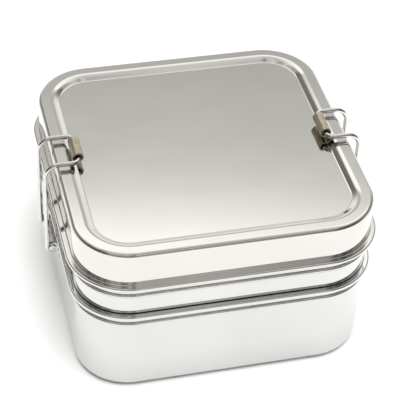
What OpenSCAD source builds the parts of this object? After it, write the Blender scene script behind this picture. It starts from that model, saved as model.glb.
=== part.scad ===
/* [Shells] */
// Half width of the straight walls of the box and the tray
wall_half = 69.1; // [68:0.1:69.2]
// Half width of the lid's skirt
lid_half = 70; // [69:0.1:71]
// Thickness of the pressed sheet
sheet = 0.8; // [0.6:0.1:1]
// Half width of the square that the rounded corners are centred on
core = 44; // [38:0.5:48]
// Height of the lower box up to its flat rim
box_h = 48.4; // [44:0.1:60]
// Height of the tray's rim above the box's rim
tray_h = 17.7; // [16:0.1:24]
// Height of the lid's top above its own flange
lid_h = 18; // [16:0.1:20]
// Outer radius of the box's bottom edge
foot_r = 5; // [3:0.1:8]

/* [Rims] */
// Half width to the outside of the turned-down rims
rim_half = 71.7; // [71.5:0.1:72]
// Depth of a rim's turned-down edge
rim_drop = 2.2; // [1.8:0.1:2.6]
// Outer radius of the bend to a turned-down edge
edge_bend_r = 0.9; // [0.85:0.05:1.2]
// Radius of the half-round bead in the wall under a rim
bead_r = 0.9; // [0.7:0.1:1.1]
// Height of a rim above the middle of its bead
bead_drop = 6.4; // [5:0.1:6.6]
// Outer radius of the bend from the wall to the flat rim
mouth_r = 1.2; // [1:0.1:1.6]
// Depth of the tray's bottom inside the mouth of the box
nest_depth = 4.5; // [3:0.1:6]
// Side gap between the tray's bottom and the mouth of the box
nest_gap = 0.3; // [0.2:0.05:0.5]
// Gap between stacked rims
seat_gap = 0.05; // [0.02:0.01:0.1]

/* [Lid] */
// Half width of the recessed panel, to the foot of its slope
panel_half = 60; // [59:0.1:61]
// Depth of the recessed panel below the border
panel_depth = 1.8; // [1:0.1:2.2]
// Width of the slope from the border down to the panel
slope_w = 2.9; // [2.4:0.1:3.6]
// Rounding of the border's outer edge
border_out_r = 2; // [1:0.1:3]
// Rounding of the border's inner edge, above the slope
border_in_r = 5; // [3:0.1:6]
// Depth of the lip that the lid's flange turns down over the tray's rim
lip_drop = 1.8; // [1:0.1:2.5]
// Side gap between that lip and the tray's rim
lip_gap = 0.3; // [0.2:0.05:0.5]

/* [Clips] */
// Diameter of the clip's wire
wire_d = 2.3; // [2:0.1:2.4]
// Spacing of the two legs of a clip
leg_spacing = 19.8; // [18:0.1:24]
// Place of the left clip along the side of the box
left_clip_y = 3.6; // [-10:0.1:10]
// Place of the right clip along the side of the box
right_clip_y = 0.4; // [-10:0.1:10]
// Distance of the clip's cross-bar from the middle of the box
bar_x = 59.3; // [58.8:0.1:59.4]
// Height of the cross-bar's centre above the lid's border
bar_rise = 2.4; // [2.4:0.1:3]
// Distance of the legs from the middle of the box
leg_x = 74.6; // [74.5:0.1:76]
// Bend radius beside the roller sleeve
bar_bend_r = 3.2; // [3:0.1:3.4]
// Bend radius at the top of the legs
shoulder_r = 6.5; // [5:0.1:7]
// Height of the upper knee in the legs
kink_top_z = 51.4; // [50:0.1:56]
// Height of the lower knee, above the hinge eyes
kink_low_z = 45; // [43:0.1:47]
// Outer diameter of the roller sleeve
sleeve_d = 5.4; // [5:0.1:5.4]
// Length of the roller sleeve
sleeve_l = 13.3; // [12:0.1:13.6]

/* [Hinges] */
// Distance of the hinge axis from the middle of the box
hinge_x = 72.8; // [72.7:0.1:73]
// Height of the hinge axis
hinge_z = 37.6; // [34:0.1:38]
// Diameter of the hinge pin
pin_d = 2.3; // [2:0.1:2.4]
// Radial play of the turning parts on the parts they turn on
play = 0.05; // [0.02:0.01:0.1]
// Height of the hinge plate on the wall
plate_h = 11; // [8:0.5:16]
// Thickness of the hinge plate
plate_t = 0.8; // [0.6:0.1:1]
// Gap between the knuckle and each eye
eye_gap = 0.3; // [0.2:0.1:0.6]

/* [Hidden] */
$fn = 96;
eps = 0.01;

// radial places, measured outwards from the core square
wall_r = wall_half - core;
rim_r = rim_half - core;
lid_r = lid_half - core;
panel_r = panel_half - core;

// heights, measured from the table
tray_rim_z = box_h + tray_h;
tray_floor_z = box_h - nest_depth;
tray_step_z = box_h + seat_gap;
lid_seat_z = tray_rim_z + seat_gap;
lid_flange_z = lid_seat_z + sheet;
lid_top_z = lid_flange_z + lid_h;

// the clip
wire_r = wire_d / 2;
eye_r = pin_d / 2 + play + wire_r;
foot_x = hinge_x + eye_r;
bar_z = lid_top_z + bar_rise;
kink_angle = atan2(leg_x - foot_x, kink_top_z - kink_low_z);
kink_run = (kink_top_z - kink_low_z) / cos(kink_angle);
knee_r = wire_r + 0.02;
knuckle_w = leg_spacing - wire_d - 2 * eye_gap;
knuckle_r = pin_d / 2 + plate_t;
mouth_d = 3.8;
mouth_l = 2.2;
head_d = 3.4;
head_t = 0.6;

// one profile swept round a square with rounded corners
module sweep() {
    for (quarter = [0:3]) rotate([0, 0, 90 * quarter]) {
        translate([core, core, 0]) rotate_extrude(angle = 90) children();
        translate([core, 0, 0]) rotate([90, 0, 0])
            linear_extrude(2 * core, center = true) children();
    }
}

// flat floor inside the core square
module core_plate(z) {
    translate([-core, -core, z]) cube([2 * core, 2 * core, sheet]);
}

// upright rectangle whose lower right corner is rounded
module tub(width, low, high, r) {
    translate([0, low + r]) square([width, high - low - r]);
    translate([0, low]) square([width - r, r + eps]);
    translate([width - r, low + r]) circle(r);
}

// flat rim that turns out of a wall, with its edge turned down, and the bead in the wall below it
module flat_rim(z) {
    turn = mouth_r - sheet;
    difference() {
        translate([wall_r - sheet, z - mouth_r]) square([rim_r - edge_bend_r - wall_r + sheet, mouth_r]);
        translate([wall_r + turn, z - mouth_r - eps])
            square([rim_r - wall_r, mouth_r - sheet + eps]);
        translate([wall_r - sheet - eps, z - mouth_r]) difference() {
            square([mouth_r + eps, mouth_r + eps]);
            translate([mouth_r + eps, 0]) circle(mouth_r);
        }
        translate([wall_r + turn, z - mouth_r]) circle(turn);
    }
    turned_edge(rim_r, z, rim_drop);
    translate([wall_r + 0.2, z - bead_drop]) circle(bead_r);
}

// quarter bend and short upright at the edge of a flat rim, out to r and down from z
module turned_edge(r, z, drop) {
    translate([r - sheet, z - drop]) square([sheet, drop - edge_bend_r]);
    translate([r - edge_bend_r, z - edge_bend_r]) intersection() {
        difference() {
            circle(edge_bend_r);
            circle(edge_bend_r - sheet);
        }
        square(2 * edge_bend_r);
    }
}

module lower_box() {
    color("gainsboro") {
        sweep() {
            difference() {
                tub(wall_r, 0, box_h - mouth_r, foot_r);
                tub(wall_r - sheet, sheet, box_h, foot_r - sheet);
            }
            flat_rim(box_h);
        }
        core_plate(0);
    }
}

module upper_tray() {
    nest_r = wall_r - sheet - nest_gap;
    edge_r = 3;
    color("gainsboro") {
        sweep() {
            difference() {
                union() {
                    tub(nest_r, tray_floor_z, tray_step_z + sheet, edge_r);
                    tub(wall_r, tray_step_z, tray_rim_z - mouth_r, sheet);
                }
                tub(nest_r - sheet, tray_floor_z + sheet, tray_rim_z, edge_r - sheet);
                translate([0, tray_step_z + sheet]) square([wall_r - sheet, tray_h]);
            }
            flat_rim(tray_rim_z);
        }
        core_plate(tray_floor_z);
    }
}

// everything under the lid's upper face, inset by the given depth
module lid_mass(inset) {
    top = lid_top_z - inset;
    floor_z = lid_top_z - panel_depth - inset;
    outer = lid_r - inset;
    out_r = border_out_r - inset;
    in_r = border_in_r - inset;
    lean = atan2(panel_depth, slope_w);
    foot = [panel_r + inset * tan(lean / 2), floor_z];
    turn = [panel_r + slope_w + border_in_r * tan(lean / 2), lid_top_z - border_in_r];
    translate([0, lid_seat_z - eps]) square([outer, floor_z - lid_seat_z + eps]);
    polygon([foot, [turn[0], floor_z - eps], turn + [0, in_r], turn + in_r * [-sin(lean), cos(lean)]]);
    translate(turn) circle(in_r);
    translate([turn[0], floor_z - eps]) square([outer - out_r - turn[0], top - floor_z + eps]);
    translate([turn[0], floor_z - eps]) square([outer - turn[0], top - floor_z - out_r + eps]);
    translate([outer - out_r, top - out_r]) circle(out_r);
}

// flat flange of the lid with its edge turned down
module lid_flange() {
    edge_r = rim_r + lip_gap + sheet;
    translate([lid_r - sheet, lid_seat_z]) square([edge_r - edge_bend_r - lid_r + sheet, sheet]);
    turned_edge(edge_r, lid_flange_z, lip_drop);
}

module lid() {
    color("lightgray") {
        sweep() {
            difference() {
                lid_mass(0);
                translate([0, -eps]) lid_mass(sheet);
                translate([0, lid_seat_z - 2 * eps]) square([lid_r - sheet, 1]);
            }
            lid_flange();
        }
        core_plate(lid_top_z - panel_depth - sheet);
    }
}

// parts of one hinge and clip on the right side of the box, centred on y = 0
module hinge_plate() {
    color("silver") translate([0, knuckle_w / 2, 0]) rotate([90, 0, 0]) linear_extrude(knuckle_w) {
        top_z = hinge_z + knuckle_r;
        translate([wall_half, top_z - plate_h]) square([plate_t, plate_h]);
        translate([wall_half, top_z - plate_t]) square([hinge_x - wall_half, plate_t]);
        translate([hinge_x, hinge_z]) difference() {
            circle(knuckle_r);
            circle(pin_d / 2);
            polygon([[0, 0], [-3 * knuckle_r, 0], [-3 * knuckle_r, knuckle_r - plate_t], [0, knuckle_r - plate_t]]);
        }
    }
}

module hinge_pin() {
    pin_half = (leg_spacing + wire_d) / 2 + play * 3;
    color("darkgray") translate([hinge_x, 0, hinge_z]) rotate([90, 0, 0]) {
        cylinder(h = 2 * pin_half, d = pin_d, center = true);
        for (side = [-1, 1]) translate([0, 0, side * (pin_half + head_t / 2)])
            cylinder(h = head_t, d = head_d, center = true);
    }
}

// wire bend in the x-z plane, from one angle to another round a centre
module bend(x, z, r, from, sweep_angle) {
    translate([x, 0, z]) rotate([90, 0, 0]) rotate([0, 0, from])
        rotate_extrude(angle = sweep_angle) translate([r, 0]) circle(wire_r);
}

// straight wire from a point in the x-z plane, at an angle measured from +x towards +z
module straight(x, z, angle, length) {
    translate([x, 0, z]) rotate([0, 90 - angle, 0]) cylinder(h = length, r = wire_r);
}

module clip_leg() {
    run_x = bar_x + bar_bend_r;
    turn_x = leg_x - shoulder_r;
    turn_z = bar_z - shoulder_r;
    straight(run_x, bar_z, 0, turn_x - run_x);
    bend(turn_x, turn_z, shoulder_r, 0, 90);
    straight(leg_x, kink_top_z, 90, turn_z - kink_top_z);
    translate([leg_x, 0, kink_top_z]) sphere(knee_r);
    straight(foot_x, kink_low_z, 90 - kink_angle, kink_run);
    translate([foot_x, 0, kink_low_z]) sphere(knee_r);
    straight(foot_x, hinge_z, 90, kink_low_z - hinge_z);
    bend(hinge_x, hinge_z, eye_r, 90, 270);
}

module clip_wire() {
    bar_half = leg_spacing / 2 - bar_bend_r;
    color("whitesmoke") {
        for (side = [-1, 1]) {
            translate([0, side * leg_spacing / 2, 0]) clip_leg();
            translate([bar_x + bar_bend_r, side * bar_half, bar_z])
                rotate([0, 0, side > 0 ? 90 : 180])
                    rotate_extrude(angle = 90) translate([bar_bend_r, 0]) circle(wire_r);
        }
        translate([bar_x, 0, bar_z]) rotate([90, 0, 0])
            cylinder(h = 2 * bar_half, r = wire_r, center = true);
    }
}

module roller_sleeve() {
    color("rosybrown") translate([bar_x, 0, bar_z]) rotate([90, 0, 0]) difference() {
        cylinder(h = sleeve_l, d = sleeve_d, center = true);
        cylinder(h = sleeve_l + 2, r = wire_r + play, center = true);
        for (side = [-1, 1]) translate([0, 0, side * sleeve_l / 2])
            cylinder(h = 2 * mouth_l, d = mouth_d, center = true);
    }
}

// places a part of the right side, or its mirror image on the left side
module on_right() { translate([0, right_clip_y, 0]) children(); }
module on_left() { translate([0, left_clip_y, 0]) mirror([1, 0, 0]) children(); }

lower_box();
upper_tray();
lid();
on_left() hinge_plate();  // left_hinge_plate
on_right() hinge_plate();  // right_hinge_plate
on_left() hinge_pin();  // left_hinge_pin
on_right() hinge_pin();  // right_hinge_pin
on_left() clip_wire();  // left_clip_wire
on_right() clip_wire();  // right_clip_wire
on_left() roller_sleeve();  // left_roller_sleeve
on_right() roller_sleeve();  // right_roller_sleeve
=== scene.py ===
"""Looks of the square steel tiffin carrier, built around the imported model. Lengths are in metres."""
import math

import bmesh
import bpy
from mathutils import Matrix, Vector


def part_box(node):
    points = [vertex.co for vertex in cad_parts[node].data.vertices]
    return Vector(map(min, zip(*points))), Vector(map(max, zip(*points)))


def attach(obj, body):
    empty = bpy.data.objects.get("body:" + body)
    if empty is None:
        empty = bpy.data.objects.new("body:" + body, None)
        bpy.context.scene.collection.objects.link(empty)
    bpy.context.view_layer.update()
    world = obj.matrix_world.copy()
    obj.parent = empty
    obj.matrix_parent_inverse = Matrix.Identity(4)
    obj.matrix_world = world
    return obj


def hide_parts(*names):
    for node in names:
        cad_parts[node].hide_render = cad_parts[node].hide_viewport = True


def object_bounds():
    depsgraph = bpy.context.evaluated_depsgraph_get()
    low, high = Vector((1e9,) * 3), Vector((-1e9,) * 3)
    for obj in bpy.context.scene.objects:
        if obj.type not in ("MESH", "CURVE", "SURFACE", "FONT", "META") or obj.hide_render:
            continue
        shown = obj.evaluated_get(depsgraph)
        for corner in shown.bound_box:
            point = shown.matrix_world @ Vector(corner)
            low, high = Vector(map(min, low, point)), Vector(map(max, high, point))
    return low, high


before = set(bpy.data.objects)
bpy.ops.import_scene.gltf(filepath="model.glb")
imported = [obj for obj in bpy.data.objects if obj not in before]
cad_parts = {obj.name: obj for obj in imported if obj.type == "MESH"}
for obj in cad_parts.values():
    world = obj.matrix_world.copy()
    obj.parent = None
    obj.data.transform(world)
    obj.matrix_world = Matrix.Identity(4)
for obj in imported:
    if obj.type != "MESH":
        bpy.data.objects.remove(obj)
cad_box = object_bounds()

MM = 0.001

# sheet metal, as the shells are pressed
SHEET = 0.8 * MM
CORE = 44 * MM            # half width of the square that the rounded corners are centred on
CAP = 1 * MM              # how far outside that square the flat floors are closed
FOOT_R = 5 * MM
MOUTH_R = 1.2 * MM
EDGE_BEND_R = 0.9 * MM    # bend to the turned-down edge of a rim
RIM_DROP = 2.2 * MM       # how far that edge is turned down
BEAD_R = 0.9 * MM         # half-round bead in the wall under each rim
BEAD_PROUD = 0.2 * MM     # how far outside the wall the middle of the bead is
BEAD_DROP = 6.4 * MM      # from the top of the rim to the middle of the bead
TRAY_EDGE_R = 3 * MM
NEST_GAP = 0.3 * MM
SEAT_GAP = 0.05 * MM
SKIRT_GAP = 2.8 * MM      # from the lid's skirt to the outside of its lip
PANEL_HALF = 60 * MM
PANEL_DEPTH = 1.8 * MM
PANEL_EDGE_R = 1.2 * MM   # hollow bend where the panel starts to rise
SLOPE_W = 2.9 * MM        # width of the slope from the panel up to the border
BORDER_OUT_R = 2 * MM
BORDER_IN_R = 5 * MM
LIP_DROP = 1.8 * MM
CREASE_R = 0.35 * MM      # tight inside bends
SUPPORT = 0.15 * MM       # distance from the end of a long straight to its extra point

# hinges and clips
WIRE_R = 1.15 * MM
EYE_R = 2.35 * MM
FOOT_RUN = 2.35 * MM      # the legs' feet stand this far outside the hinge pin
KINK_TOP_Z = 51.4 * MM
KINK_LOW_Z = 45 * MM
KINK_R = 6 * MM
SHOULDER_R = 6.5 * MM
BAR_BEND_R = 3.2 * MM
PIN_R = 1.15 * MM
PIN_HEAD_L = 0.6 * MM
PIN_DOME = 0.35 * MM      # height of the dome on the pin's head
PLATE_T = 0.8 * MM
PLATE_BEND_R = 0.9 * MM
PLATE_CUT = 0.2 * MM      # slanted inside corner of the plate's bend
PLATE_EASE = 0.12 * MM
SLEEVE_MOUTH_R = 1.9 * MM
SLEEVE_MOUTH_L = 2.2 * MM
SLEEVE_BORE_R = 1.2 * MM
SLEEVE_EDGE_R = 0.35 * MM
SLEEVE_LIP = 0.15 * MM
SEAM_DEPTH = 0.12 * MM    # groove where the sleeve's rolled edges meet
SEAM_WIDTH = 0.07         # in radians round the sleeve
SEAM_ANGLE = -60          # in degrees, from +x towards +z

# steps of the meshes
CORNER_STEPS = 40
ARC_STEPS = 14
CREASE_STEPS = 6
BEND_STEPS = 8
EDGE_STEPS = 10
ROUND_STEPS = 20
KNUCKLE_STEPS = 36
SHARP_ANGLE = 38          # edges that turn more than this many degrees are shaded sharp
FLAT_WEIGHT = 60          # above 50, large faces lead the normals of the small bends beside them

# colours, each with the second tone that clouds it
BOX_TONES = ((0.65, 0.65, 0.645, 1), (0.62, 0.62, 0.615, 1))
LID_TONES = ((0.65, 0.64, 0.62, 1), (0.63, 0.62, 0.6, 1))
WIRE_TONES = ((0.68, 0.675, 0.66, 1), (0.58, 0.57, 0.555, 1))
HINGE_TONES = ((0.68, 0.675, 0.66, 1), (0.5, 0.4, 0.27, 1))
SLEEVE_TONES = ((0.54, 0.485, 0.375, 1), (0.4, 0.355, 0.27, 1))
SLEEVE_STREAK = (0.62, 0.575, 0.475, 1)
PAPER_TONES = ((0.8, 0.8, 0.795, 1), (0.82, 0.82, 0.815, 1))


# ---------------------------------------------------------------- outlines

def arc(x, z, radius, start, end, steps=ARC_STEPS):
    """Points on a circle from one angle to another, in degrees, both ends included."""
    angles = [math.radians(start + (end - start) * i / steps) for i in range(steps + 1)]
    return [(x + radius * math.cos(a), z + radius * math.sin(a)) for a in angles]


def supported(points):
    """The outline without doubled points. Long straights get a point near each end, to shade flat."""
    clean = [points[0]]
    for p in points[1:]:
        if math.dist(p, clean[-1]) > 1e-7:
            clean.append(p)
    out = [clean[0]]
    for a, b in zip(clean, clean[1:]):
        length = math.dist(a, b)
        if length > 4 * SUPPORT:
            t = SUPPORT / length
            out.append((a[0] + (b[0] - a[0]) * t, a[1] + (b[1] - a[1]) * t))
            out.append((b[0] + (a[0] - b[0]) * t, b[1] + (a[1] - b[1]) * t))
        out.append(b)
    return out


def rim_outline(wall_r, rim_r, top):
    """From the outside of the wall, over its bead and round the rim, to the inside of the wall."""
    turn = MOUTH_R - SHEET
    bend_x = rim_r - EDGE_BEND_R
    bend_z = top - EDGE_BEND_R
    return (
        arc(wall_r + BEAD_PROUD, top - BEAD_DROP, BEAD_R, -100, 100, 2 * ARC_STEPS)
        + arc(wall_r + turn, top - MOUTH_R, turn, 180, 90, CREASE_STEPS)
        + arc(bend_x, bend_z, EDGE_BEND_R - SHEET, 90, 0, CREASE_STEPS)
        + arc(rim_r - SHEET / 2, top - RIM_DROP + SHEET / 2, SHEET / 2, 180, 360, EDGE_STEPS)
        + arc(bend_x, bend_z, EDGE_BEND_R, 0, 90)
        + arc(wall_r - SHEET + MOUTH_R, top - MOUTH_R, MOUTH_R, 90, 180)
    )


def box_outline(wall_r, rim_r, top):
    """From the flat bottom of the box, up the outside and down the inside, to its flat floor."""
    foot_x = wall_r - FOOT_R
    return (
        [(CAP, 0)]
        + arc(foot_x, FOOT_R, FOOT_R, -90, 0)
        + rim_outline(wall_r, rim_r, top)
        + arc(foot_x, FOOT_R, FOOT_R - SHEET, 0, -90)
        + [(CAP, SHEET)]
    )


def tray_outline(wall_r, rim_r, low, step, top):
    """As for the box, with a smaller bottom that nests in the box below the height of the step."""
    nest_r = wall_r - SHEET - NEST_GAP
    edge_x = nest_r - TRAY_EDGE_R
    edge_z = low + TRAY_EDGE_R
    return (
        [(CAP, low)]
        + arc(edge_x, edge_z, TRAY_EDGE_R, -90, 0)
        + arc(nest_r + CREASE_R, step - CREASE_R, CREASE_R, 180, 90, CREASE_STEPS)
        + arc(wall_r - SHEET, step + SHEET, SHEET, -90, 0)
        + rim_outline(wall_r, rim_r, top)
        + [(wall_r - SHEET, step + SHEET), (nest_r - SHEET, step + SHEET)]
        + arc(edge_x, edge_z, TRAY_EDGE_R - SHEET, 0, -90)
        + [(CAP, low + SHEET)]
    )


def lid_outline(skirt_r, panel_r, lip_r, seat, top):
    """From the panel's upper face, over the border, round the lip and back inside to its lower face."""
    flange = seat + SHEET
    panel = top - PANEL_DEPTH
    lean = math.degrees(math.atan2(PANEL_DEPTH, SLOPE_W))
    share = math.tan(math.radians(lean / 2))
    foot_x = panel_r - PANEL_EDGE_R * share
    foot_z = panel + PANEL_EDGE_R
    inner_x = panel_r + SLOPE_W + BORDER_IN_R * share
    outer_x = skirt_r - BORDER_OUT_R
    lip_x = lip_r - EDGE_BEND_R
    lip_z = flange - EDGE_BEND_R
    return (
        [(CAP, panel)]
        + arc(foot_x, foot_z, PANEL_EDGE_R, -90, lean - 90, BEND_STEPS)
        + arc(inner_x, top - BORDER_IN_R, BORDER_IN_R, 90 + lean, 90, ROUND_STEPS)
        + arc(outer_x, top - BORDER_OUT_R, BORDER_OUT_R, 90, 0, ROUND_STEPS)
        + arc(skirt_r + CREASE_R, flange + CREASE_R, CREASE_R, 180, 270, BEND_STEPS)
        + arc(lip_x, lip_z, EDGE_BEND_R, 90, 0)
        + arc(lip_r - SHEET / 2, flange - LIP_DROP + SHEET / 2, SHEET / 2, 0, -180, EDGE_STEPS)
        + arc(lip_x, lip_z, EDGE_BEND_R - SHEET, 0, 90, BEND_STEPS)
        + [(skirt_r - SHEET, seat)]
        + arc(outer_x, top - BORDER_OUT_R, BORDER_OUT_R - SHEET, 0, 90)
        + arc(inner_x, top - BORDER_IN_R, BORDER_IN_R - SHEET, 90, 90 + lean, BEND_STEPS)
        + arc(foot_x, foot_z, PANEL_EDGE_R + SHEET, lean - 90, -90, BEND_STEPS)
        + [(CAP, panel - SHEET)]
    )


# ---------------------------------------------------------------- meshes

def mesh_object(name, verts, faces):
    """A smooth-shaded mesh with outward normals, shaded sharp where its faces meet at a large angle."""
    mesh = bpy.data.meshes.new(name)
    mesh.from_pydata(verts, [], faces)
    bm = bmesh.new()
    bm.from_mesh(mesh)
    bmesh.ops.recalc_face_normals(bm, faces=bm.faces)
    bm.to_mesh(mesh)
    bm.free()
    mesh.shade_smooth()
    mesh.set_sharp_from_angle(angle=math.radians(SHARP_ANGLE))
    piece = bpy.data.objects.new(name, mesh)
    bpy.context.scene.collection.objects.link(piece)
    return piece


def stations():
    """(centre x, centre y, outward x, outward y) of each step round a square with rounded corners."""
    sides = (0.002, 0.25, 0.5, 0.75, 0.998)
    centres = [(CORE, CORE), (-CORE, CORE), (-CORE, -CORE), (CORE, -CORE)]
    out = []
    for quarter, (cx, cy) in enumerate(centres):
        for step in range(CORNER_STEPS + 1):
            a = math.radians(90 * (quarter + step / CORNER_STEPS))
            out.append((cx, cy, math.cos(a), math.sin(a)))
        nx, ny = centres[(quarter + 1) % 4]
        out += [(cx + (nx - cx) * t, cy + (ny - cy) * t, math.cos(a), math.sin(a)) for t in sides]
    return out


def swept_shell(name, outline):
    """One sheet shell: the outline swept round the rounded square, with a flat floor in the middle."""
    outline = supported(outline)
    path = stations()
    count = len(outline)
    verts = [(cx + r * dx, cy + r * dy, z) for cx, cy, dx, dy in path for r, z in outline]
    faces = []
    for i in range(len(path)):
        here, following = i * count, ((i + 1) % len(path)) * count
        faces += [(here + j, following + j, following + j + 1, here + j + 1) for j in range(count - 1)]
    faces.append([i * count for i in range(len(path))])
    faces.append([i * count + count - 1 for i in range(len(path))])
    return mesh_object(name, verts, faces)


def rounded_path(corners, radii, steps=12):
    """A polyline through the corners, with each inner corner rounded to its radius."""
    points = [corners[0]]
    for before, corner, after, radius in zip(corners, corners[1:], corners[2:], radii):
        back, ahead = (before - corner).normalized(), (after - corner).normalized()
        half = back.angle(ahead) / 2
        centre = corner + (back + ahead).normalized() * (radius / math.sin(half))
        start = corner + back * (radius / math.tan(half)) - centre
        end = corner + ahead * (radius / math.tan(half)) - centre
        turn = start.angle(end)
        axis = start.cross(end)
        points += [centre + Matrix.Rotation(turn * i / steps, 3, axis) @ start for i in range(steps + 1)]
    return points + [corners[-1]]


def skin(name, rings, lengths, girth):
    """A closed skin over rings of equal point counts, with u along and v round it, both in metres."""
    count = len(rings[0])
    verts = [p for ring in rings for p in ring]
    faces = []
    for i in range(len(rings) - 1):
        for k in range(count):
            beside = (k + 1) % count
            faces.append((i * count + k, i * count + beside, (i + 1) * count + beside, (i + 1) * count + k))
    faces.append(list(range(count)))
    faces.append([(len(rings) - 1) * count + k for k in range(count)])
    piece = mesh_object(name, verts, faces)
    uv = piece.data.uv_layers.new(name="along_round")
    for face in piece.data.polygons:
        wraps = len(face.vertices) == 4 and {v % count for v in face.vertices} == {0, count - 1}
        for loop in face.loop_indices:
            ring, k = divmod(piece.data.loops[loop].vertex_index, count)
            share = 1 if wraps and k == 0 else k / count
            uv.data[loop].uv = (lengths[ring], share * girth)
    return piece


def tube(name, points, radius, sides=28, dome=0.35):
    """A wire along the points, its cut ends rounded over by a share of its radius."""
    ease = [math.radians(90 * i / 4) for i in range(5)]
    end = [(dome * radius * math.cos(a), radius * (1 - dome + dome * math.sin(a))) for a in ease]
    first = (points[0] - points[1]).normalized()
    last = (points[-1] - points[-2]).normalized()
    centres = [(points[0] - first * (dome * radius - proud), r) for proud, r in end]
    centres += [(p, radius) for p in points[1:-1]]
    centres += [(points[-1] - last * (dome * radius - proud), r) for proud, r in reversed(end)]
    tangent = -first
    side = tangent.orthogonal().normalized()
    rings, lengths, travelled = [], [], 0.0
    for i, (centre, r) in enumerate(centres):
        before, after = centres[max(i - 1, 0)][0], centres[min(i + 1, len(centres) - 1)][0]
        if (after - before).length > 1e-9:
            tangent = (after - before).normalized()
        side = (side - tangent * side.dot(tangent)).normalized()
        other = tangent.cross(side)
        angles = [2 * math.pi * k / sides for k in range(sides)]
        rings.append([centre + (side * math.cos(a) + other * math.sin(a)) * r for a in angles])
        travelled += (centre - before).length
        lengths.append(travelled)
    return skin(name, rings, lengths, 2 * math.pi * radius)


def lathe(name, centre, outline, sides=72, groove=0.0, groove_at=0.0):
    """A turned piece about a y axis through centre. The outline gives (distance along y, radius)."""
    rings, lengths, travelled = [], [], 0.0
    last = outline[0]
    for y, r in outline:
        ring = []
        for k in range(sides):
            a = 2 * math.pi * k / sides
            off = math.atan2(math.sin(a - groove_at), math.cos(a - groove_at))
            dip = groove * math.exp(-(off / SEAM_WIDTH) ** 2)
            ring.append(centre + Vector(((r - dip) * math.cos(a), y, (r - dip) * math.sin(a))))
        rings.append(ring)
        travelled += math.dist((y, r), last)
        last = (y, r)
        lengths.append(travelled)
    widest = max(r for _, r in outline)
    return skin(name, rings, lengths, 2 * math.pi * widest)


def extruded(name, outline, y_low, y_high):
    """A closed x-z outline extruded along y, with its end edges eased."""
    count = len(outline)
    verts = [(x, y, z) for y in (y_low, y_high) for x, z in outline]
    faces = [(k, (k + 1) % count, count + (k + 1) % count, count + k) for k in range(count)]
    faces += [list(range(count)), list(range(count, 2 * count))]
    piece = mesh_object(name, verts, faces)
    ease = piece.modifiers.new("eased_ends", "BEVEL")
    ease.width = PLATE_EASE
    ease.segments = 2
    ease.limit_method = "ANGLE"
    ease.angle_limit = math.radians(60)
    return piece


def keep_flats_flat(piece):
    """Weighted normals, so that a flat face next to a small bend still reflects as a flat."""
    smooth = piece.modifiers.new("flat_faces", "WEIGHTED_NORMAL")
    smooth.keep_sharp = True
    smooth.weight = FLAT_WEIGHT


# ---------------------------------------------------------------- materials

class Nodes:
    """Short ways to add and join the nodes of one material or world."""

    def __init__(self, tree):
        self.tree = tree
        tree.nodes.clear()

    def add(self, kind, inputs=None, **settings):
        node = self.tree.nodes.new(kind)
        for key, value in settings.items():
            setattr(node, key, value)
        for key, value in (inputs or {}).items():
            if isinstance(value, bpy.types.NodeSocket):
                self.tree.links.new(value, node.inputs[key])
            else:
                node.inputs[key].default_value = value
        return node

    def math(self, operation, a, b=0.0):
        return self.add("ShaderNodeMath", {0: a, 1: b}, operation=operation).outputs[0]

    def stretch(self, vector, scale, rotation=(0, 0, 0)):
        node = self.add("ShaderNodeMapping", {"Vector": vector, "Scale": scale, "Rotation": rotation})
        return node.outputs[0]

    def noise(self, vector, scale, detail=2.0, roughness=0.5):
        inputs = {"Vector": vector, "Scale": scale, "Detail": detail, "Roughness": roughness}
        return self.add("ShaderNodeTexNoise", inputs).outputs[0]

    def ramp(self, value, low, high, out_low=0.0, out_high=1.0, smooth=True):
        inputs = {"Value": value, "From Min": low, "From Max": high, "To Min": out_low, "To Max": out_high}
        kind = "SMOOTHSTEP" if smooth else "LINEAR"
        return self.add("ShaderNodeMapRange", inputs, interpolation_type=kind).outputs[0]

    def along(self, vector, direction):
        inputs = {0: vector, 1: tuple(direction)}
        return self.add("ShaderNodeVectorMath", inputs, operation="DOT_PRODUCT").outputs["Value"]

    def mix(self, share, a, b):
        node = self.add("ShaderNodeMix", data_type="RGBA")
        for key, value in ((0, share), (6, a), (7, b)):
            if isinstance(value, bpy.types.NodeSocket):
                self.tree.links.new(value, node.inputs[key])
            else:
                node.inputs[key].default_value = value
        return node.outputs[2]


def new_material(name):
    material = bpy.data.materials.new(name)
    material.use_nodes = True
    return material, Nodes(material.node_tree)


def metal(n, tint, roughness, bump):
    """Joins a colour, a roughness and a bump to a bare metal surface."""
    shader = n.add("ShaderNodeBsdfPrincipled", {
        "Base Color": tint, "Metallic": 1.0, "Roughness": roughness, "Normal": bump.outputs[0]})
    n.add("ShaderNodeOutputMaterial", {"Surface": shader.outputs[0]})


def hairlines(n, place, angle, fineness=1.0):
    """Sparse fine scratches that run at one angle on the flats and round the walls."""
    turned = n.stretch(place, (14 * fineness, 2600 * fineness, 900 * fineness), (0, 0, math.radians(angle)))
    lines = n.noise(turned, 1.0, 1.0, 0.4)
    patches = n.noise(n.stretch(place, (1, 1, 1), (0.3, 0.2, 0.1 * angle)), 55.0, 2.0)
    return n.math("MULTIPLY", n.ramp(lines, 0.62, 0.78), n.ramp(patches, 0.45, 0.65))


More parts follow.
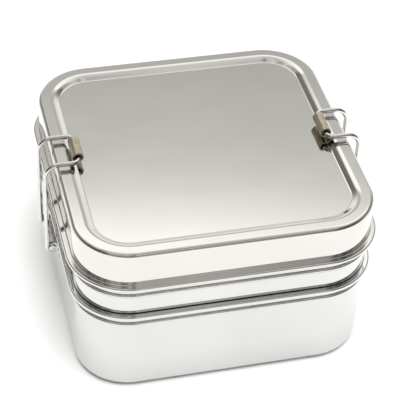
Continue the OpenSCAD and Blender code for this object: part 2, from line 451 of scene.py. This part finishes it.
def steel(name, tones, rough_low, rough_high, wave, scratch):
    """Bright stainless sheet: wipe marks in its gloss, faint press waves, and hairline scratches."""
    material, n = new_material(name)
    coords = n.add("ShaderNodeTexCoord").outputs["Object"]
    smear = n.noise(n.stretch(coords, (1, 2.5, 1), (0, 0, 0.6)), 24.0, 4.0, 0.55)
    scratches = n.math("MAXIMUM", hairlines(n, coords, 21), hairlines(n, coords, 117, 1.3))
    cloud = n.ramp(smear, 0.35, 0.75, rough_low, rough_high)
    roughness = n.math("ADD", cloud, n.math("MULTIPLY", scratches, 0.05))
    tint = n.mix(n.ramp(n.noise(coords, 17.0, 3.0), 0.35, 0.7), *tones)
    waves = n.noise(coords, 30.0, 1.0, 0.4)
    wavy = n.add("ShaderNodeBump", {"Strength": 1.0, "Distance": wave, "Height": waves})
    fine_height = n.math("MULTIPLY", scratches, -1.0)
    inputs = {"Strength": scratch, "Distance": 0.00001, "Height": fine_height, "Normal": wavy.outputs[0]}
    fine = n.add("ShaderNodeBump", inputs)
    metal(n, tint, roughness, fine)
    return material


def wire_steel():
    """Drawn wire: bright, with die lines along it."""
    material, n = new_material("wire_steel")
    along = n.add("ShaderNodeTexCoord").outputs["UV"]
    lines = n.noise(n.stretch(along, (90, 5200, 1)), 1.0, 2.0, 0.5)
    dull = n.noise(n.stretch(along, (160, 420, 1)), 1.0, 3.0, 0.6)
    roughness = n.ramp(dull, 0.3, 0.75, 0.09, 0.2)
    tint = n.mix(n.ramp(dull, 0.4, 0.75), *WIRE_TONES)
    bump = n.add("ShaderNodeBump", {"Strength": 0.5, "Distance": 0.00001, "Height": lines})
    metal(n, tint, roughness, bump)
    return material


def hinge_steel():
    """Plain pressed strip: a little duller, with grain along it and a trace of heat colour."""
    material, n = new_material("hinge_steel")
    coords = n.add("ShaderNodeTexCoord").outputs["Object"]
    grain = n.noise(n.stretch(coords, (2400, 120, 2400)), 1.0, 2.0, 0.5)
    heat = n.ramp(n.noise(coords, 150.0, 2.0), 0.5, 0.72)
    tint = n.mix(n.math("MULTIPLY", heat, 0.5), *HINGE_TONES)
    roughness = n.ramp(grain, 0.3, 0.75, 0.2, 0.34)
    bump = n.add("ShaderNodeBump", {"Strength": 0.5, "Distance": 0.00001, "Height": grain})
    metal(n, tint, roughness, bump)
    return material


def sleeve_steel():
    """Rolled tube of straw-brown heat-coloured steel, with blotches and paler draw streaks."""
    material, n = new_material("sleeve_steel")
    along = n.add("ShaderNodeTexCoord").outputs["UV"]
    streaks = n.noise(n.stretch(along, (120, 3600, 1)), 1.0, 3.0, 0.55)
    blotch = n.noise(n.stretch(along, (260, 420, 1)), 1.0, 3.0, 0.6)
    straw = n.mix(n.ramp(blotch, 0.3, 0.7), *SLEEVE_TONES)
    tint = n.mix(n.ramp(streaks, 0.5, 0.8, 0.0, 0.5), straw, SLEEVE_STREAK)
    roughness = n.ramp(blotch, 0.3, 0.75, 0.27, 0.42)
    bump = n.add("ShaderNodeBump", {"Strength": 0.6, "Distance": 0.00002, "Height": streaks})
    metal(n, tint, roughness, bump)
    return material


def floor_paper():
    """Matt white backdrop paper with a trace of fibre."""
    material, n = new_material("backdrop_paper")
    coords = n.add("ShaderNodeTexCoord").outputs["Object"]
    fibre = n.noise(coords, 900.0, 3.0, 0.6)
    tint = n.mix(fibre, *PAPER_TONES)
    bump = n.add("ShaderNodeBump", {"Strength": 0.1, "Distance": 0.00005, "Height": fibre})
    inputs = {"Base Color": tint, "Roughness": 0.9, "Normal": bump.outputs[0]}
    shader = n.add("ShaderNodeBsdfPrincipled", inputs)
    n.add("ShaderNodeOutputMaterial", {"Surface": shader.outputs[0]})
    return material


def dress(piece, material, body, slot, *nodes):
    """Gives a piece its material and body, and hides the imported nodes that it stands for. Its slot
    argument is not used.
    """
    piece.data.materials.clear()
    piece.data.materials.append(material)
    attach(piece, body)
    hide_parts(*nodes)


# ---------------------------------------------------------------- pieces

def build_shells(box_steel, lid_steel):
    """The box, the tray and the lid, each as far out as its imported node."""
    wall_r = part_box("right_hinge_plate")[0].x - CORE
    box_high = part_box("lower_box")[1]
    tray_low, tray_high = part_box("upper_tray")
    lid_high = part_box("lid")[1]
    rim_r = box_high.x - CORE
    lip_r = lid_high.x - CORE

    box = swept_shell("box_shell", box_outline(wall_r, rim_r, box_high.z))
    dress(box, box_steel, "box", "polished_steel", "lower_box")
    keep_flats_flat(box)

    tray_step = box_high.z + SEAT_GAP
    tray = swept_shell("tray_shell", tray_outline(wall_r, rim_r, tray_low.z, tray_step, tray_high.z))
    dress(tray, box_steel, "tray", "polished_steel", "upper_tray")
    keep_flats_flat(tray)

    seat = tray_high.z + SEAT_GAP
    outline = lid_outline(lip_r - SKIRT_GAP, PANEL_HALF - CORE, lip_r, seat, lid_high.z)
    lid = swept_shell("lid_shell", outline)
    dress(lid, lid_steel, "lid", "lid_steel", "lid")
    keep_flats_flat(lid)


def clip_path(side, y, spacing, pin, bar, leg):
    """Centre line of one clip's wire: an eye, a leg, the cross-bar, a leg and an eye."""
    half = spacing / 2
    foot = abs(pin[0]) + FOOT_RUN
    eye = [(abs(pin[0]) + EYE_R * math.cos(a), pin[1] + EYE_R * math.sin(a))
           for a in [math.radians(90 + 270 * i / 36) for i in range(36)]]
    corners = [
        (foot, half, pin[1]), (foot, half, KINK_LOW_Z), (leg, half, KINK_TOP_Z), (leg, half, bar[1]),
        (bar[0], half, bar[1]), (bar[0], -half, bar[1]), (leg, -half, bar[1]),
        (leg, -half, KINK_TOP_Z), (foot, -half, KINK_LOW_Z), (foot, -half, pin[1])]
    radii = [KINK_R, KINK_R, SHOULDER_R, BAR_BEND_R, BAR_BEND_R, SHOULDER_R, KINK_R, KINK_R]
    middle = rounded_path([Vector(c) for c in corners], radii)
    points = [Vector((x, half, z)) for x, z in eye] + middle
    points += [Vector((x, -half, z)) for x, z in reversed(eye)]
    return [Vector((side * p.x, y + p.y, p.z)) for p in points]


def sleeve_outline(half, radius):
    """From the bottom of one mouth, over the outside, to the bottom of the other mouth. The bore between
    them is closed, where the wire hides it."""
    lip = [(half - SLEEVE_EDGE_R * (1 - math.sin(a)), radius - SLEEVE_EDGE_R * (1 - math.cos(a)))
           for a in [math.radians(90 * i / 6) for i in range(7)]]
    deep = half - SLEEVE_MOUTH_L
    mouth = [(deep, SLEEVE_BORE_R), (deep, SLEEVE_MOUTH_R)]
    inner = [(half - SLEEVE_LIP, SLEEVE_MOUTH_R), (half, SLEEVE_MOUTH_R + SLEEVE_LIP)]
    end = mouth + inner + lip[::-1]
    body = [(half * (1 - 2 * t / 8) * 0.9, radius) for t in range(9)]
    return end + body + [(-y, r) for y, r in reversed(end)]


def build_clip(name, side, wire, sleeve_material):
    """One clip's wire and the sleeve on its cross-bar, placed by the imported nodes' boxes."""
    pin_low, pin_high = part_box(name + "_hinge_pin")
    wire_low, wire_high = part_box(name + "_clip_wire")
    tube_low, tube_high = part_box(name + "_roller_sleeve")
    middle = (tube_low + tube_high) / 2
    pin = ((pin_low.x + pin_high.x) / 2, (pin_low.z + pin_high.z) / 2)
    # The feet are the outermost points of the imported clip. So the legs here stand straight over their
    # feet, 0.57 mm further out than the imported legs, and the kink is next to nothing.
    leg = max(abs(wire_low.x), abs(wire_high.x)) - WIRE_R
    spacing = wire_high.y - wire_low.y - 2 * WIRE_R
    bar = (abs(middle.x), middle.z)
    points = clip_path(side, middle.y, spacing, pin, bar, leg)
    clip = tube(name + "_clip", points, WIRE_R)
    dress(clip, wire, name + "_clip", "wire_steel", name + "_clip_wire")

    radius = (tube_high.z - tube_low.z) / 2
    outline = sleeve_outline((tube_high.y - tube_low.y) / 2, radius)
    seam = math.radians(SEAM_ANGLE)
    sleeve = lathe(name + "_sleeve", middle, outline, groove=SEAM_DEPTH, groove_at=seam)
    dress(sleeve, sleeve_material, name + "_sleeve", "sleeve_steel", name + "_roller_sleeve")


def plate_outline(wall, low, top, pin_x, pin_z):
    """A strip that lies on the wall, turns out at its top and curls round under the pin."""
    tab = top - PLATE_T
    knuckle = PIN_R + PLATE_T
    face = wall + PLATE_T
    return (
        [(wall, low), (face, low), (face, tab - PLATE_CUT), (face + PLATE_CUT, tab)]
        + arc(pin_x, pin_z, PIN_R, 90, -180, KNUCKLE_STEPS)
        + arc(pin_x, pin_z, knuckle, -180, 90, KNUCKLE_STEPS)
        + arc(wall + PLATE_BEND_R, top - PLATE_BEND_R, PLATE_BEND_R, 90, 180, BEND_STEPS)
    )


def build_hinge(name, side, material):
    """One hinge: the curled plate on the box's wall, and the headed pin through it."""
    plate_low, plate_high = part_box(name + "_hinge_plate")
    pin_low, pin_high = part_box(name + "_hinge_pin")
    middle = (pin_low + pin_high) / 2
    wall = min(abs(plate_low.x), abs(plate_high.x))
    outline = plate_outline(wall, plate_low.z, plate_high.z, abs(middle.x), middle.z)
    outline = [(side * x, z) for x, z in outline]
    plate = extruded(name + "_plate", outline, plate_low.y, plate_high.y)
    dress(plate, material, "box", "hinge_steel", name + "_hinge_plate")

    head_r = (pin_high.z - pin_low.z) / 2
    half = (pin_high.y - pin_low.y) / 2
    dome = [(half - PIN_DOME * (1 - math.cos(a)), head_r * math.sin(a))
            for a in [math.radians(90 * (i + 0.5) / 8) for i in range(8)]]
    end = dome + [(half - PIN_HEAD_L, head_r), (half - PIN_HEAD_L, PIN_R)]
    turned = end + [(-y, r) for y, r in reversed(end)]
    pin = lathe(name + "_pin", middle, turned, sides=48)
    dress(pin, material, "box", "hinge_steel", name + "_hinge_pin")


# ---------------------------------------------------------------- studio

# the camera: angles in degrees, distance in metres, lens in millimetres
AZIMUTH = -16.01
ELEVATION = 41.18
ROLL = 3.44
DISTANCE = 0.7769
AIM_OFFSET = Vector((0.0094, 0.0149, -0.015))   # from the middle of the object to what the camera aims at
LENS = 133.79

# level directions, from the object towards the camera and to the camera's right
FRONT = Vector((math.sin(math.radians(AZIMUTH)), -math.cos(math.radians(AZIMUTH)), 0))
SIDE = Vector((math.cos(math.radians(AZIMUTH)), math.sin(math.radians(AZIMUTH)), 0))

# (degrees above the horizon, brightness) of the tent on the far side and on the camera's side
FAR_SIDE = [
    (-90, 0.95), (-3, 1.1), (8, 1.2), (20, 1.1), (28, 0.8), (33.5, 0.62), (36, 0.65), (37.9, 0.74),
    (39.2, 0.82), (40, 0.92), (41.6, 1.3), (42.2, 1.55), (52, 1.45), (59, 1.3), (75, 0.9), (90, 0.7)]
NEAR_SIDE = [
    (-90, 0.95), (-3, 0.95), (0, 0.16), (5, 0.42), (21, 0.42), (26, 0.12), (30, 0.14), (35, 0.38),
    (41, 0.65), (50, 0.52), (62, 0.47), (76, 0.6), (90, 0.7)]
BRIGHTEST = 2.0
WARMTH = (1.0, 0.985, 0.955, 1)
KEY_PLACE = Vector((0.05, -0.45, 1.6))
KEY_SIZE = 1.6
KEY_POWER = 41
FLOOR_HALF = 3


def build_camera():
    """The camera, aimed a little off the middle of the object and rolled."""
    azimuth, elevation, roll = (math.radians(v) for v in (AZIMUTH, ELEVATION, ROLL))
    aim = (cad_box[0] + cad_box[1]) / 2 + AIM_OFFSET
    back = FRONT * math.cos(elevation) + Vector((0, 0, math.sin(elevation)))
    right = Vector((math.cos(azimuth), math.sin(azimuth), 0))
    up = back.cross(right)
    turned_right = right * math.cos(roll) + up * math.sin(roll)
    turned_up = up * math.cos(roll) - right * math.sin(roll)
    data = bpy.data.cameras.new("camera")
    data.lens = LENS
    data.sensor_width = 36
    data.clip_start = 0.01
    camera = bpy.data.objects.new("camera", data)
    bpy.context.scene.collection.objects.link(camera)
    axes = Matrix((turned_right, turned_up, back)).transposed()
    camera.matrix_world = Matrix.Translation(aim + back * DISTANCE) @ axes.to_4x4()
    bpy.context.scene.camera = camera


def brightness_curve(n, height, stops):
    """Light against the sine of the angle above the horizon, through the stops."""
    node = n.add("ShaderNodeValToRGB", {"Fac": n.ramp(height, -1, 1, 0, 1, False)})
    node.color_ramp.interpolation = "EASE"
    elements = node.color_ramp.elements
    while len(elements) > 1:
        elements.remove(elements[-1])
    for i, (degrees, value) in enumerate(stops):
        place = (math.sin(math.radians(degrees)) + 1) / 2
        stop = elements[0] if i == 0 else elements.new(place)
        stop.position = place
        grey = value / BRIGHTEST
        stop.color = (grey, grey, grey, 1)
    return n.math("MULTIPLY", node.outputs[0], BRIGHTEST)


def build_studio():
    """A tent of soft light that the steel reflects: bright on the far side with a grey belt, darker and
    uneven on the camera's side, and dimmed to the left and right. The camera itself sees white."""
    scene = bpy.context.scene
    scene.view_settings.view_transform = "Standard"
    world = bpy.data.worlds.new("studio")
    world.use_nodes = True
    scene.world = world
    n = Nodes(world.node_tree)
    direction = n.add("ShaderNodeTexCoord").outputs["Generated"]
    height = n.add("ShaderNodeSeparateXYZ", {0: direction}).outputs[2]
    far = brightness_curve(n, height, FAR_SIDE)
    uneven = n.ramp(n.noise(direction, 6.0, 1.0), 0.38, 0.62, 0.55, 1.5)
    near = n.math("MULTIPLY", brightness_curve(n, height, NEAR_SIDE), uneven)
    share = n.ramp(n.along(direction, FRONT), -0.25, 0.25)
    flags = n.ramp(n.math("ABSOLUTE", n.along(direction, SIDE)), 0.4, 0.62, 1.0, 0.35)
    above = n.ramp(height, -0.02, 0.05)
    flagged = n.math("ADD", n.math("MULTIPLY", flags, above), n.math("SUBTRACT", 1.0, above))
    both = n.mix(flagged, (0.0, 0.0, 0.0, 1), n.mix(share, far, near))
    warm = n.add("ShaderNodeMix", {0: 1.0}, data_type="RGBA", blend_type="MULTIPLY")
    n.tree.links.new(both, warm.inputs[6])
    warm.inputs[7].default_value = WARMTH
    seen = n.add("ShaderNodeLightPath").outputs["Is Camera Ray"]
    shown = n.mix(seen, warm.outputs[2], (1.0, 1.0, 1.0, 1))
    background = n.add("ShaderNodeBackground", {"Color": shown, "Strength": 1.0})
    n.add("ShaderNodeOutputWorld", {"Surface": background.outputs[0]})

    corners = [(-FLOOR_HALF, -FLOOR_HALF, 0), (FLOOR_HALF, -FLOOR_HALF, 0),
               (FLOOR_HALF, FLOOR_HALF, 0), (-FLOOR_HALF, FLOOR_HALF, 0)]
    floor = mesh_object("floor", corners, [(0, 1, 2, 3)])
    floor.data.materials.append(floor_paper())


def add_light(name, place, aim, size, power):
    """A round soft light that doesn't show in reflections."""
    data = bpy.data.lights.new(name, "AREA")
    data.shape = "DISK"
    data.size = size
    data.energy = power
    lamp = bpy.data.objects.new(name, data)
    lamp.location = place
    lamp.rotation_euler = (place - aim).to_track_quat("Z", "Y").to_euler()
    lamp.visible_glossy = False
    bpy.context.scene.collection.objects.link(lamp)


build_camera()
build_studio()
middle = (cad_box[0] + cad_box[1]) / 2
add_light("key", KEY_PLACE, middle, KEY_SIZE, KEY_POWER)

box_steel = steel("polished_steel", BOX_TONES, 0.04, 0.09, wave=0.02 * MM, scratch=0.3)
lid_steel = steel("lid_steel", LID_TONES, 0.05, 0.1, wave=0.01 * MM, scratch=0.1)
wire = wire_steel()
hinge = hinge_steel()
sleeve = sleeve_steel()

build_shells(box_steel, lid_steel)
for name, side in (("left", -1), ("right", 1)):
    build_clip(name, side, wire, sleeve)
    build_hinge(name, side, hinge)
